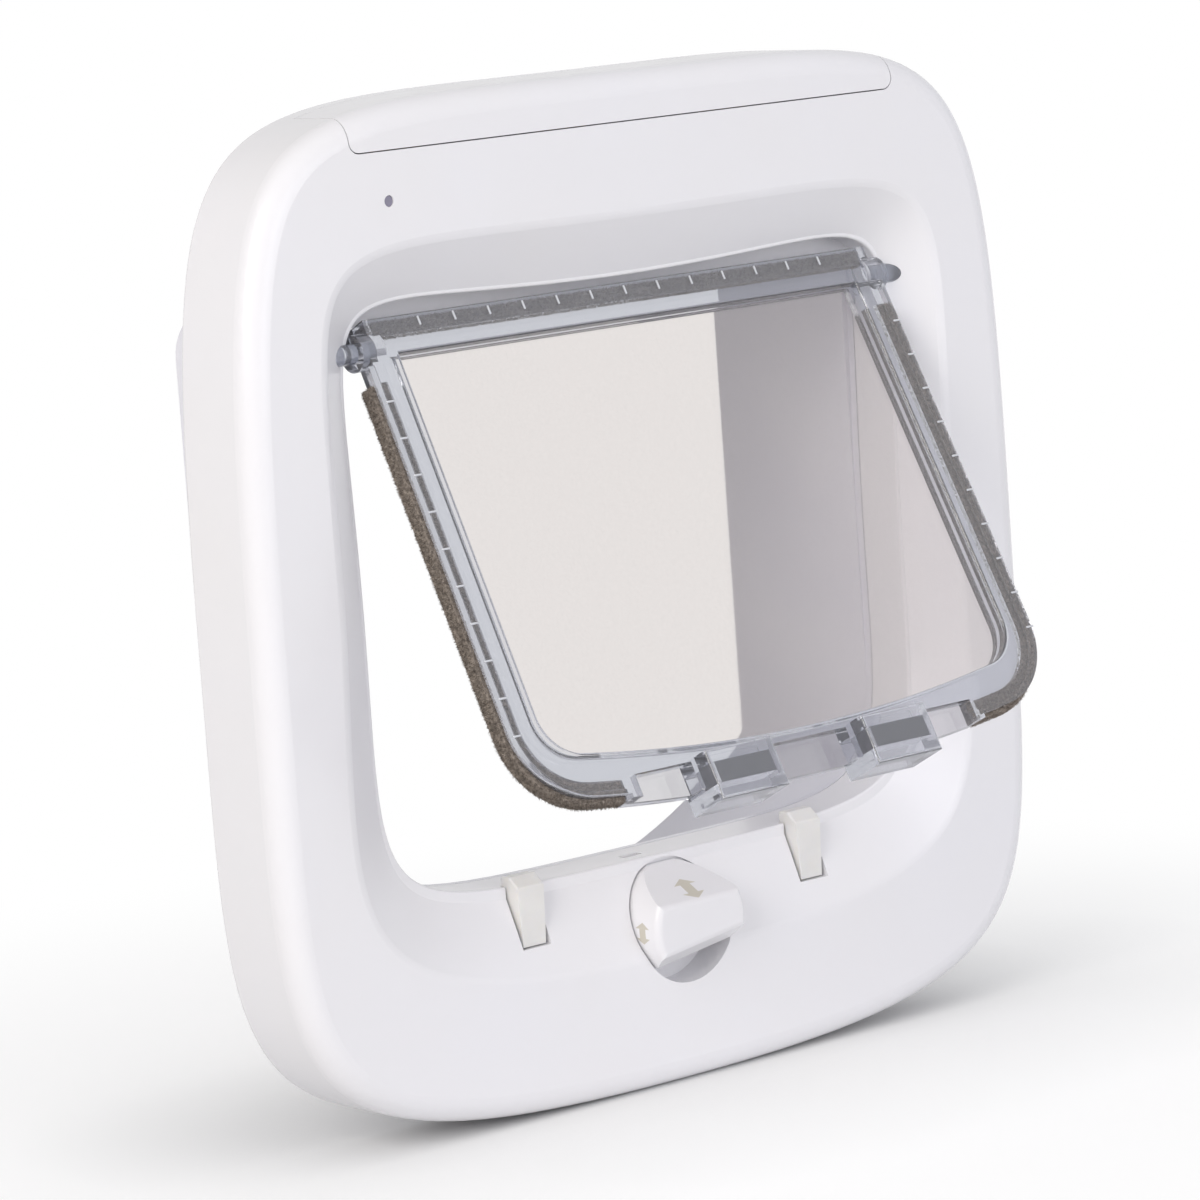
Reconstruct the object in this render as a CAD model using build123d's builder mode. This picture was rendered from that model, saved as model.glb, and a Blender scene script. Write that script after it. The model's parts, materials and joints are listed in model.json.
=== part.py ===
"""Cat flap: framed door flap with a clear swinging panel, latch pawls and a lock knob.

Millimetres, +Z up. The origin is the centre of the frame on the door's face, and the frame's
front faces -Y. Depths count back from the frame's front face.
"""

import os
from math import cos, pi, radians, sin, tan

from build123d import *

os.makedirs("parts", exist_ok=True)

# Frame outline and shell. The four numbers of an outline's corners push its curves' handles
# past the top and the side above, then past the foot and the side below.
frame_width = 240.0
frame_height = 245.0
frame_depth = 26.0
frame_widest = -13.4
frame_corners = (7.9, -3.0, -18.0, 4.0)
cover_wall = 2.6
front_edge_radius = 6.0
rear_edge_radius = 1.2

# Recess on the front face, flaring back to the opening
side_band = 23.4
top_band = 33.8
foot_band = 32.2
recess_widest = 13.2
recess_corners = (11.1, 9.5, -25.6, 22.9)
recess_edge_radius = 4.0
flare_depth = 8.0
flare_side = 12.0
flare_top = 15.2
sill_height = 23.1
flare_step = 1.0
sill_lip = 2.8

# Opening and its collar
opening_corners = (20.5, 16.4, 1.0, 7.4)
ledge_edge_radius = 0.5
collar_depth = 21.0
header_depth = 16.0
header_drop = 4.0
seam_gap = 0.3

# Tunnel and rear plate
tunnel_end = 72.0
tunnel_wall = 1.8
tunnel_step = 0.4
tunnel_top_step = 0.9
tunnel_top_bow = 1.2
tunnel_floor_drop = 20.8
tunnel_floor_bow = 31.0
tunnel_top_radius = 10.0
tunnel_bottom_radius = 3.0
web_thickness = 2.0
plate_thickness = 2.5
plate_gap = 0.2

# Fixing to the door and screws that close the housing
fixing_inset_x = 22.0
fixing_inset_z = 28.5
fixing_hole_radius = 1.75
fixing_hole_length = 14.0
fixing_boss_radius = 4.5
fixing_boss_floor = 2.0
screw_side_inset = 14.0
screw_side_height = 50.0
screw_foot_inset = 14.5
screw_foot_x = 66.0
screw_radius = 1.4
screw_clearance = 0.05
screw_length = 13.0
screw_head_radius = 2.7
screw_head_height = 1.5
screw_drive_length = 3.4
screw_drive_width = 0.7
screw_drive_depth = 1.0
screw_boss_radius = 3.5

# Battery cover
lid_half_width = 85.0
lid_height = 12.1
lid_depth = 20.0
lid_corner_radius = 3.0
lid_gap = 0.3

# Battery tray and cells
cell_radius = 7.15
cell_body = 49.2
cell_nub = 1.3
cell_nub_radius = 2.7
cell_count = 3
cell_gap = 0.05
cell_drop = 12.8
cell_depth = 12.0
cell_play = 0.35
contact_thickness = 0.4
contact_gap = 0.05
contact_width = 9.0
tray_end_gap = 0.6
tray_end_wall = 6.2
tray_floor = 1.0
tray_cradle = 0.3

# Circuit board, indicator lens, learn button and its switch
board_height = 17.4
board_depth = 9.0
board_thickness = 1.6
board_gap = 0.8
board_end_gap = 1.0
post_radius = 2.5
post_drop = 3.9
post_inner_x = 26.0
post_outer_x = 62.0
chip_height = 1.8
lens_x = -74.5
lens_drop = 1.4
lens_radius = 1.3
lens_clearance = 0.05
lens_sink = 0.4
button_depth = 12.6
button_stem_radius = 2.0
button_clearance = 0.06
button_cap_radius = 3.2
button_cap_height = 2.2
button_travel = 1.0
button_play = 0.3
switch_width = 6.0
switch_height = 4.0
switch_reach = 4.0

# Reader coil round the collar
coil_gap = 0.3
coil_thickness = 3.0
coil_width = 6.0
coil_depth = 14.8

# Hinge
hinge_depth = 7.8
hinge_drop = 9.0
hinge_pin_radius = 2.4
hinge_pin_clearance = 0.05
hinge_pin_in = 6.6
hinge_pin_out = 6.4
hinge_boss_radius = 4.5
hinge_boss_out = 6.9
knuckle_radius = 4.4
knuckle_length = 6.7
knuckle_gap = 2.0

# Flap, drawn on its own plane: x across, y up from the hinge axis
flap_open_angle = 27.5
flap_side_gap = 3.0
flap_spread = 1.9
flap_top_gap = 2.4
flap_foot_gap = 11.4
flap_bow = 6.5
flap_corner_radius = 20.0
rim_half = 3.5
rim_edge_radius = 0.8
sheet_half = 1.1
pile_proud = 2.4
lip_inset = 1.0
lip_back = 0.9
groove_depth = 2.2
groove_half = 1.3
top_groove_half = 2.2
window_inset = 9.6
window_foot = 10.7
window_top = 2.6
pile_start = 8.5
pile_end_x = 56.0
pile_slack = 0.1
bar_inset = 2.6
bar_low = 1.0
bar_half = 3.4
top_groove_floor = 2.2
top_pile_inset = 2.0
top_pile_sink = 0.6

# Flap magnets in their housings, pockets for the pawls and the bolt
magnet_x = 24.6
magnet_length = 17.0
magnet_size = 5.0
magnet_foot = 3.3
magnet_front = 6.9
magnet_play = 0.1
housing_width = 20.6
housing_rise = 8.9
housing_foot = 3.3
housing_front = 8.0
housing_back = 4.0
housing_edge_radius = 0.7
pocket_width = 17.0
pocket_rise = 8.1
pocket_back = 0.6
bolt_pocket_width = 25.0
sill_magnet_depth = 10.8
sill_magnet_thickness = 3.8
sill_magnet_gap = 0.4

# Latch pawls, bar and solenoid
pawl_x = 44.7
pawl_top_width = 8.3
pawl_foot_width = 6.9
pawl_front = 4.0
pawl_step = 7.3
pawl_back = 10.0
pawl_proud = 3.1
pawl_nose_drop = 2.4
pawl_ramp = 3.0
pawl_height = 16.8
pawl_travel = 9.5
pawl_edge_radius = 0.5
slot_play = 0.35
bar_foot_gap = 6.5
bar_thickness = 5.0
plunger_x = -29.0
plunger_radius = 2.2
plunger_clearance = 0.08
plunger_length = 25.0
lug_half_width = 4.5
bobbin_radius = 4.4
bobbin_gap = 0.1
bobbin_drop = 11.8
bobbin_height = 20.0
bracket_thickness = 1.2
bracket_half_width = 6.0

# Lock knob, pinion and bolt
knob_rise = 7.3
pocket_radius = 15.0
pocket_depth = 9.2
cup_wall = 1.8
knob_radius = 14.4
knob_front = -5.4
knob_brow = 5.9
knob_top_slope = 29.0
knob_lip = 4.3
knob_lip_depth = 0.0
knob_chord = 8.2
knob_floor_gap = 0.4
knob_edge_radius = 1.8
knob_tilt = 8.0
shaft_radius = 4.0
shaft_clearance = 0.06
flange_radius = 7.0
flange_gap = 0.2
flange_thickness = 1.0
pinion_teeth = 10
pinion_module = 0.65
tooth_height = 0.5
tooth_root = 0.65
tooth_slope = 30.0
tooth_backlash = 0.24
bolt_gap = 0.2
bolt_thickness = 2.0
bolt_width = 4.4
bolt_sink = 0.6
bolt_tail = 21.0
rack_low = -9
rack_high = 2
bolt_play = 0.3
guide_thickness = 2.0
guide_half_height = 11.0
knob_screw_radius = 1.2
knob_screw_length = 7.0
knob_screw_head_radius = 2.3
knob_screw_head_height = 1.2

# Heights and half widths that follow from the frame
frame_top = frame_height / 2
frame_foot = -frame_height / 2
recess_half_width = frame_width / 2 - side_band
recess_top = frame_top - top_band
recess_bottom = frame_foot + foot_band
opening_half_width = recess_half_width - flare_side
opening_top = recess_top - flare_top
opening_bottom = recess_bottom + sill_height
tunnel_half_width = opening_half_width - tunnel_step
tunnel_top = opening_top - tunnel_top_step
tunnel_bottom = opening_bottom - tunnel_floor_drop
tunnel_side_end = tunnel_bottom + tunnel_floor_bow
fixing_half_x = frame_width / 2 - fixing_inset_x
fixing_half_z = frame_top - fixing_inset_z
screw_side_x = frame_width / 2 - screw_side_inset
screw_foot_height = frame_foot + screw_foot_inset
screw_spots = [(side * screw_side_x, end * screw_side_height) for side in (1, -1) for end in (1, -1)]
screw_spots += [(side * screw_foot_x, screw_foot_height) for side in (1, -1)]

# Depths behind the front face
plate_front = frame_depth - plate_thickness
web_front = collar_depth + seam_gap
plunger_depth = web_front - bracket_thickness - bobbin_gap - bobbin_radius
flange_front = pocket_depth + cup_wall + flange_gap
bolt_front = flange_front + flange_thickness + bolt_gap
pinion_back = bolt_front + bolt_thickness + bolt_gap

# Battery compartment, from the cover down
lid_seam_height = frame_top - lid_height
cell_height = frame_top - cell_drop
tray_half_width = lid_half_width - tray_end_gap
tray_bottom = cell_height - cell_radius - cell_play - tray_floor
tray_top = cell_height + tray_cradle
trough_start = tray_end_wall - tray_half_width
cell_pitch = cell_body + cell_nub + cell_gap
trough_length = cell_count * cell_pitch - cell_gap + 2 * (contact_thickness + contact_gap)
trough_end = trough_start + trough_length
button_x = (trough_end + tray_half_width) / 2
board_half_width = lid_half_width - board_end_gap
board_top = tray_bottom - board_gap
board_bottom = board_top - board_height
lens_height = board_top - lens_drop
post_height = board_top - post_drop
post_spots = [(side * x, post_height) for side in (1, -1) for x in (post_inner_x, post_outer_x)]

# Hinge and flap
hinge_height = opening_top - hinge_drop
bar_high = hinge_drop - flap_top_gap
top_pile_reach = bar_high - top_pile_sink
hinge_pin_inner = opening_half_width - hinge_pin_in
hinge_pin_outer = opening_half_width + hinge_pin_out
hinge_boss_end = opening_half_width + hinge_boss_out
knuckle_outer = opening_half_width - knuckle_gap
knuckle_inner = knuckle_outer - knuckle_length
flap_half_top = opening_half_width - flap_side_gap
flap_half_bottom = flap_half_top + flap_spread
flap_length = hinge_height - opening_bottom - flap_foot_gap
window_length = flap_length - window_foot
bar_half_width = flap_half_top - bar_inset
top_pile_half_width = bar_half_width - top_pile_inset
magnet_drop = flap_length - magnet_foot
housing_top = flap_length - housing_rise
housing_bottom = flap_length + housing_foot
pocket_top = flap_length - pocket_rise

# Sill: magnets, latch and lock
sill_magnet_top = opening_bottom - cover_wall - sill_magnet_gap
pawl_top = opening_bottom + pawl_proud
pawl_nose = pawl_top - pawl_nose_drop
pawl_foot = pawl_top - pawl_height
bar_top_height = frame_foot + bar_foot_gap + bar_thickness
bobbin_top = opening_bottom - bobbin_drop
knob_height = recess_bottom + knob_rise
bolt_foot = knob_height - bolt_tail
pitch_radius = pinion_module * pinion_teeth / 2
tooth_pitch = pi * pinion_module
tooth_half = (tooth_pitch / 2 - tooth_backlash) / 2
bolt_edge = pitch_radius + tooth_root
bolt_x = -(bolt_edge + bolt_width / 2)


def behind_front(depth):
    """Plane at a depth behind the frame's front face: x across, y up, facing forward."""
    return Plane.XZ.offset(frame_depth - depth)


def across(x):
    """Plane at a place along X: x runs back, y up."""
    return Plane.YZ.offset(x)


def bowed_face(half_width, top, bottom, widest, corners):
    """Face inside four curves, widest at one height and flat at its top and bottom."""
    above, out_top, below, out_bottom = corners
    with BuildSketch(mode=Mode.PRIVATE) as face:
        with BuildLine():
            for side in (1, -1):
                edge = side * half_width
                upper = (edge, top + above), (edge + side * out_top, top)
                Bezier((edge, widest), *upper, (0, top))
                lower = (edge, bottom - below), (edge + side * out_bottom, bottom)
                Bezier((edge, widest), *lower, (0, bottom))
        make_face()
    return face.sketch_local


def frame_face(inset):
    half_width = frame_width / 2 - inset
    low = frame_foot + inset
    return bowed_face(half_width, frame_top - inset, low, frame_widest, frame_corners)


def recess_face():
    return bowed_face(
        recess_half_width, recess_top, recess_bottom, recess_widest, recess_corners
    )


def opening_face(grow, drop=0.0):
    half_width = opening_half_width + grow
    low = opening_bottom - grow - drop
    return bowed_face(half_width, opening_top + grow, low, 0.0, opening_corners)


def lid_face(inset):
    """Battery cover seen from the front, with round lower corners, open above the frame."""
    with BuildSketch(mode=Mode.PRIVATE) as face:
        with Locations((0, lid_seam_height + inset)):
            Rectangle(
                2 * (lid_half_width - inset), frame_height, align=(Align.CENTER, Align.MIN)
            )
        fillet(face.vertices().group_by(Axis.Y)[0], lid_corner_radius - inset)
    return face.sketch_local


def tunnel_face(grow):
    """Straight sides, a nearly flat top and a deep round floor."""
    half_width = tunnel_half_width + grow
    shoulder = tunnel_top + grow - tunnel_top_bow
    foot = tunnel_side_end - grow
    with BuildSketch(mode=Mode.PRIVATE) as face:
        with BuildLine():
            Line((half_width, shoulder), (half_width, foot))
            Line((-half_width, shoulder), (-half_width, foot))
            ThreePointArc((half_width, shoulder), (0, tunnel_top + grow), (-half_width, shoulder))
            ThreePointArc((half_width, foot), (0, tunnel_bottom - grow), (-half_width, foot))
        make_face()
        fillet(face.vertices().group_by(Axis.Y)[-1], tunnel_top_radius + grow)
        fillet(face.vertices().group_by(Axis.Y)[0], tunnel_bottom_radius + grow)
    return face.sketch_local


def flap_face(inset, top, length):
    """Sides that widen downward and a bowed foot with round corners, in the flap's plane."""
    spread = (flap_half_bottom - flap_half_top) / (flap_length - flap_bow)
    high = flap_half_top - inset - spread * top
    low = flap_half_bottom - inset
    foot = -(length - flap_bow)
    with BuildSketch(mode=Mode.PRIVATE) as face:
        with BuildLine():
            Line((high, top), (-high, top))
            Line((high, top), (low, foot))
            Line((-high, top), (-low, foot))
            ThreePointArc((low, foot), (0, -length), (-low, foot))
        make_face()
        fillet(face.vertices().group_by(Axis.Y)[0], flap_corner_radius - inset)
    return face.sketch_local


# Front cover and the battery cover, cut from one shell
with BuildPart() as cover_shell:
    with BuildSketch(behind_front(0)):
        add(frame_face(0))
    extrude(amount=-frame_depth)
    fillet(cover_shell.faces().sort_by(Axis.Y)[0].edges(), front_edge_radius)
    fillet(cover_shell.faces().sort_by(Axis.Y)[-1].edges(), rear_edge_radius)
    with BuildSketch(behind_front(cover_wall)):
        add(frame_face(cover_wall))
    extrude(amount=cover_wall - frame_depth, mode=Mode.SUBTRACT)

with BuildPart() as front_cover:
    add(cover_shell.part)
    # backing of the flare, collar, hinge bosses, knob cup, screw bosses and board posts
    with BuildSketch(behind_front(cover_wall)):
        add(recess_face())
    with BuildSketch(behind_front(flare_depth + cover_wall)):
        add(opening_face(cover_wall))
    loft()
    with BuildSketch(behind_front(flare_depth + cover_wall)):
        add(opening_face(cover_wall))
    extrude(amount=flare_depth + cover_wall - collar_depth)
    for side in (1, -1):
        with BuildSketch(across(side * opening_half_width)):
            with Locations((hinge_depth - frame_depth, hinge_height)):
                Circle(hinge_boss_radius)
        extrude(amount=side * (hinge_boss_end - opening_half_width))
    with BuildSketch(behind_front(cover_wall)):
        with Locations((0, knob_height)):
            Circle(pocket_radius + cup_wall)
    extrude(amount=cover_wall - pocket_depth - cup_wall)
    with BuildSketch(behind_front(cover_wall)):
        with Locations(*screw_spots):
            Circle(screw_boss_radius)
    extrude(amount=cover_wall - plate_front)
    with BuildSketch(behind_front(cover_wall)):
        with Locations(*post_spots):
            Circle(post_radius)
    extrude(amount=cover_wall - board_depth)
    # guide rib for the lock bolt on the back of the cup
    with BuildSketch(behind_front(pocket_depth)):
        with Locations((bolt_x - bolt_width / 2 - bolt_play, knob_height)):
            Rectangle(guide_thickness, 2 * guide_half_height, align=(Align.MAX, Align.CENTER))
    extrude(amount=pocket_depth - pinion_back)
    # flare and opening
    with BuildSketch(behind_front(0)):
        add(recess_face())
    with BuildSketch(behind_front(flare_depth)):
        add(opening_face(flare_step, sill_lip - flare_step))
    loft(mode=Mode.SUBTRACT)
    with BuildSketch(behind_front(flare_depth)):
        add(opening_face(0))
    extrude(amount=flare_depth - collar_depth, mode=Mode.SUBTRACT)
    # header behind the flap's bar
    with BuildSketch(behind_front(header_depth)):
        add(opening_face(cover_wall / 2))
        with Locations((0, opening_top - header_drop)):
            Rectangle(
                frame_width, frame_height, align=(Align.CENTER, Align.MIN), mode=Mode.INTERSECT
            )
    extrude(amount=header_depth - collar_depth)
    front_loop = front_cover.faces().sort_by(Axis.Y)[0].inner_wires().sort_by(SortBy.LENGTH)[-1]
    fillet(front_loop.edges(), recess_edge_radius)
    step_depth = flare_depth - frame_depth
    step_faces = front_cover.faces().filter_by(Axis.Y)
    step_face = step_faces.filter_by_position(Axis.Y, step_depth - 0.1, step_depth + 0.1)[0]
    fillet(step_face.inner_wires()[0].edges(), ledge_edge_radius)
    # hinge pin holes
    for side in (1, -1):
        with BuildSketch(across(side * hinge_pin_inner)):
            with Locations((hinge_depth - frame_depth, hinge_height)):
                Circle(hinge_pin_radius + hinge_pin_clearance)
        extrude(amount=side * (hinge_boss_end - hinge_pin_inner), mode=Mode.SUBTRACT)
    # battery cover cut-out
    with BuildSketch(behind_front(0)):
        add(lid_face(0))
    extrude(amount=-lid_depth, mode=Mode.SUBTRACT)
    # indicator hole
    with BuildSketch(behind_front(0)):
        with Locations((lens_x, lens_height)):
            Circle(lens_radius + lens_clearance)
    extrude(amount=-cover_wall, mode=Mode.SUBTRACT)
    # pawl slots
    with BuildSketch(behind_front(0)):
        with Locations((pawl_x, pawl_foot - slot_play), (-pawl_x, pawl_foot - slot_play)):
            slot_height = pawl_top - pawl_foot + 2 * slot_play
            Rectangle(
                pawl_top_width + 2 * slot_play, slot_height, align=(Align.CENTER, Align.MIN)
            )
    extrude(amount=-(pawl_back + slot_play), mode=Mode.SUBTRACT)
    # knob pocket and shaft hole
    with BuildSketch(behind_front(0)):
        with Locations((0, knob_height)):
            Circle(pocket_radius)
    extrude(amount=-pocket_depth, mode=Mode.SUBTRACT)
    with BuildSketch(behind_front(pocket_depth)):
        with Locations((0, knob_height)):
            Circle(shaft_radius + shaft_clearance)
    extrude(amount=-cup_wall, mode=Mode.SUBTRACT)
    # slot through the ledge for the lock bolt and its teeth
    with BuildSketch(behind_front(bolt_front - bolt_play)):
        with Locations((bolt_x - bolt_width / 2 - bolt_play, opening_bottom)):
            slot_width = bolt_width + tooth_root + tooth_height + 2 * bolt_play
            Rectangle(slot_width, 4 * cover_wall, align=(Align.MIN, Align.CENTER))
    extrude(amount=-(bolt_thickness + 2 * bolt_play), mode=Mode.SUBTRACT)
    # screw holes, open to the rear
    with BuildSketch(behind_front(plate_front)):
        with Locations(*screw_spots):
            Circle(screw_radius + screw_clearance)
    extrude(amount=screw_length, mode=Mode.SUBTRACT)
front_cover.part.label = "front_cover"
export_step(front_cover.part, "parts/front_cover.step")

with BuildPart() as battery_cover:
    add(cover_shell.part)
    with BuildSketch(behind_front(0)):
        add(lid_face(lid_gap))
    extrude(amount=-(lid_depth - lid_gap), mode=Mode.INTERSECT)
battery_cover.part.label = "battery_cover"
export_step(battery_cover.part, "parts/battery_cover.step")

# Rear plate and tunnel
with BuildPart() as rear_housing:
    with BuildSketch(behind_front(plate_front)):
        add(frame_face(cover_wall + plate_gap))
    extrude(amount=-plate_thickness)
    with BuildSketch(behind_front(web_front)):
        add(tunnel_face(tunnel_wall))
    extrude(amount=web_front - tunnel_end)
    with BuildSketch(behind_front(frame_depth)):
        with GridLocations(2 * fixing_half_x, 2 * fixing_half_z, 2, 2):
            Circle(fixing_boss_radius)
    extrude(amount=fixing_hole_length + fixing_boss_floor)
    with BuildSketch(behind_front(web_front + web_thickness)):
        add(tunnel_face(0))
    extrude(amount=web_front + web_thickness - tunnel_end, mode=Mode.SUBTRACT)
    with BuildSketch(behind_front(web_front)):
        add(opening_face(0))
    extrude(amount=-web_thickness, mode=Mode.SUBTRACT)
    with BuildSketch(behind_front(frame_depth)):
        with GridLocations(2 * fixing_half_x, 2 * fixing_half_z, 2, 2):
            Circle(fixing_hole_radius)
    extrude(amount=fixing_hole_length, mode=Mode.SUBTRACT)
    with BuildSketch(behind_front(frame_depth)):
        with Locations(*screw_spots):
            Circle(screw_head_radius + screw_clearance)
    extrude(amount=screw_head_height, mode=Mode.SUBTRACT)
    with BuildSketch(behind_front(frame_depth - screw_head_height)):
        with Locations(*screw_spots):
            Circle(screw_radius + screw_clearance)
    extrude(amount=plate_thickness - screw_head_height, mode=Mode.SUBTRACT)
rear_housing.part.label = "rear_housing"
export_step(rear_housing.part, "parts/rear_housing.step")

with BuildPart() as housing_screws:
    with BuildSketch(behind_front(frame_depth)):
        with Locations(*screw_spots):
            Circle(screw_head_radius)
    extrude(amount=screw_head_height)
    with BuildSketch(behind_front(frame_depth - screw_head_height)):
        with Locations(*screw_spots):
            Circle(screw_radius)
    extrude(amount=screw_length)
    with BuildSketch(behind_front(frame_depth)):
        with Locations(*screw_spots):
            Rectangle(screw_drive_length, screw_drive_width)
            Rectangle(screw_drive_width, screw_drive_length)
    extrude(amount=screw_drive_depth, mode=Mode.SUBTRACT)
housing_screws.part.label = "housing_screws"
export_step(housing_screws.part, "parts/housing_screws.step")

# Battery tray, cells and contacts
with BuildPart() as battery_tray:
    with BuildSketch(across(-tray_half_width)):
        with Locations((cover_wall - frame_depth, tray_bottom)):
            Rectangle(
                plate_front - cover_wall, tray_top - tray_bottom, align=(Align.MIN, Align.MIN)
            )
    extrude(amount=2 * tray_half_width)
    with BuildSketch(across(trough_start)):
        with Locations((cell_depth - frame_depth, cell_height)):
            Circle(cell_radius + cell_play)
    extrude(amount=trough_end - trough_start, mode=Mode.SUBTRACT)
    with BuildSketch(Plane.XY.offset(tray_bottom)):
        with Locations((button_x, button_depth - frame_depth)):
            Circle(button_stem_radius + button_clearance)
    extrude(amount=tray_top - tray_bottom, mode=Mode.SUBTRACT)
battery_tray.part.label = "battery_tray"
export_step(battery_tray.part, "parts/battery_tray.step")

with BuildPart() as battery_cells:
    for index in range(cell_count):
        start = trough_start + contact_thickness + contact_gap
        start += index * cell_pitch
        with BuildSketch(across(start)):
            with Locations((cell_depth - frame_depth, cell_height)):
                Circle(cell_radius)
        extrude(amount=cell_body)
        with BuildSketch(across(start + cell_body)):
            with Locations((cell_depth - frame_depth, cell_height)):
                Circle(cell_nub_radius)
        extrude(amount=cell_nub)
battery_cells.part.label = "battery_cells"
export_step(battery_cells.part, "parts/battery_cells.step")

with BuildPart() as battery_contacts:
    for place in (trough_start, trough_end - contact_thickness):
        with BuildSketch(across(place)):
            with Locations((cell_depth - frame_depth, cell_height)):
                Rectangle(contact_width, contact_width)
        extrude(amount=contact_thickness)
battery_contacts.part.label = "battery_contacts"
export_step(battery_contacts.part, "parts/battery_contacts.step")

# Circuit board with its parts, indicator lens, learn button and switch
with BuildPart() as circuit_board:
    with BuildSketch(behind_front(board_depth)):
        with Locations((0, board_bottom)):
            Rectangle(
                2 * board_half_width, board_top - board_bottom, align=(Align.CENTER, Align.MIN)
            )
    extrude(amount=-board_thickness)
circuit_board.part.label = "circuit_board"
export_step(circuit_board.part, "parts/circuit_board.step")

with BuildPart() as led_lens:
    with BuildSketch(behind_front(lens_sink)):
        with Locations((lens_x, lens_height)):
            Circle(lens_radius)
    extrude(amount=lens_sink - board_depth)
led_lens.part.label = "led_lens"
export_step(led_lens.part, "parts/led_lens.step")

switch_top = board_top - button_travel - button_play
with BuildPart() as learn_switch:
    with BuildSketch(behind_front(board_depth + board_thickness)):
        with Locations((button_x, switch_top)):
            Rectangle(switch_width, switch_height, align=(Align.CENTER, Align.MAX))
    extrude(amount=-switch_reach)
learn_switch.part.label = "learn_switch"
export_step(learn_switch.part, "parts/learn_switch.step")

with BuildPart() as learn_button:
    with BuildSketch(Plane.XY.offset(board_top)):
        with Locations((button_x, button_depth - frame_depth)):
            Circle(button_stem_radius)
    button_seat = tray_top + button_travel + button_play
    extrude(amount=button_seat - board_top)
    with BuildSketch(Plane.XY.offset(button_seat)):
        with Locations((button_x, button_depth - frame_depth)):
            Circle(button_cap_radius)
    extrude(amount=button_cap_height)
learn_button.part.label = "learn_button"
export_step(learn_button.part, "parts/learn_button.step")

# Reader coil
with BuildPart() as reader_coil:
    with BuildSketch(behind_front(coil_depth)):
        add(opening_face(cover_wall + coil_gap + coil_thickness))
    extrude(amount=-coil_width)
    with BuildSketch(behind_front(coil_depth)):
        add(opening_face(cover_wall + coil_gap))
    extrude(amount=-coil_width, mode=Mode.SUBTRACT)
reader_coil.part.label = "reader_coil"
export_step(reader_coil.part, "parts/reader_coil.step")

# Hinge pins
with BuildPart() as hinge_pins:
    for side in (1, -1):
        with BuildSketch(across(side * hinge_pin_inner)):
            with Locations((hinge_depth - frame_depth, hinge_height)):
                Circle(hinge_pin_radius)
        extrude(amount=side * (hinge_pin_outer - hinge_pin_inner))
hinge_pins.part.label = "hinge_pins"
export_step(hinge_pins.part, "parts/hinge_pins.step")

# Flap
lean = radians(flap_open_angle)
hinge_point = (0, hinge_depth - frame_depth, hinge_height)
flap_plane = Plane(origin=hinge_point, x_dir=(1, 0, 0), z_dir=(0, -cos(lean), sin(lean)))
flap_normal = Axis(hinge_point, flap_plane.z_dir)
groove_inset = pile_proud + groove_depth
pile_front = lip_back - pile_slack
pile_middle = (pile_front - rim_half) / 2
strip_width = flap_half_bottom + pile_proud - pile_end_x
strip_height = flap_length + pile_proud - pile_start


def strip_corner(side):
    """Alignment that keeps a rectangle outward of its place and below it."""
    return (Align.MIN if side > 0 else Align.MAX, Align.MAX)


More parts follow.
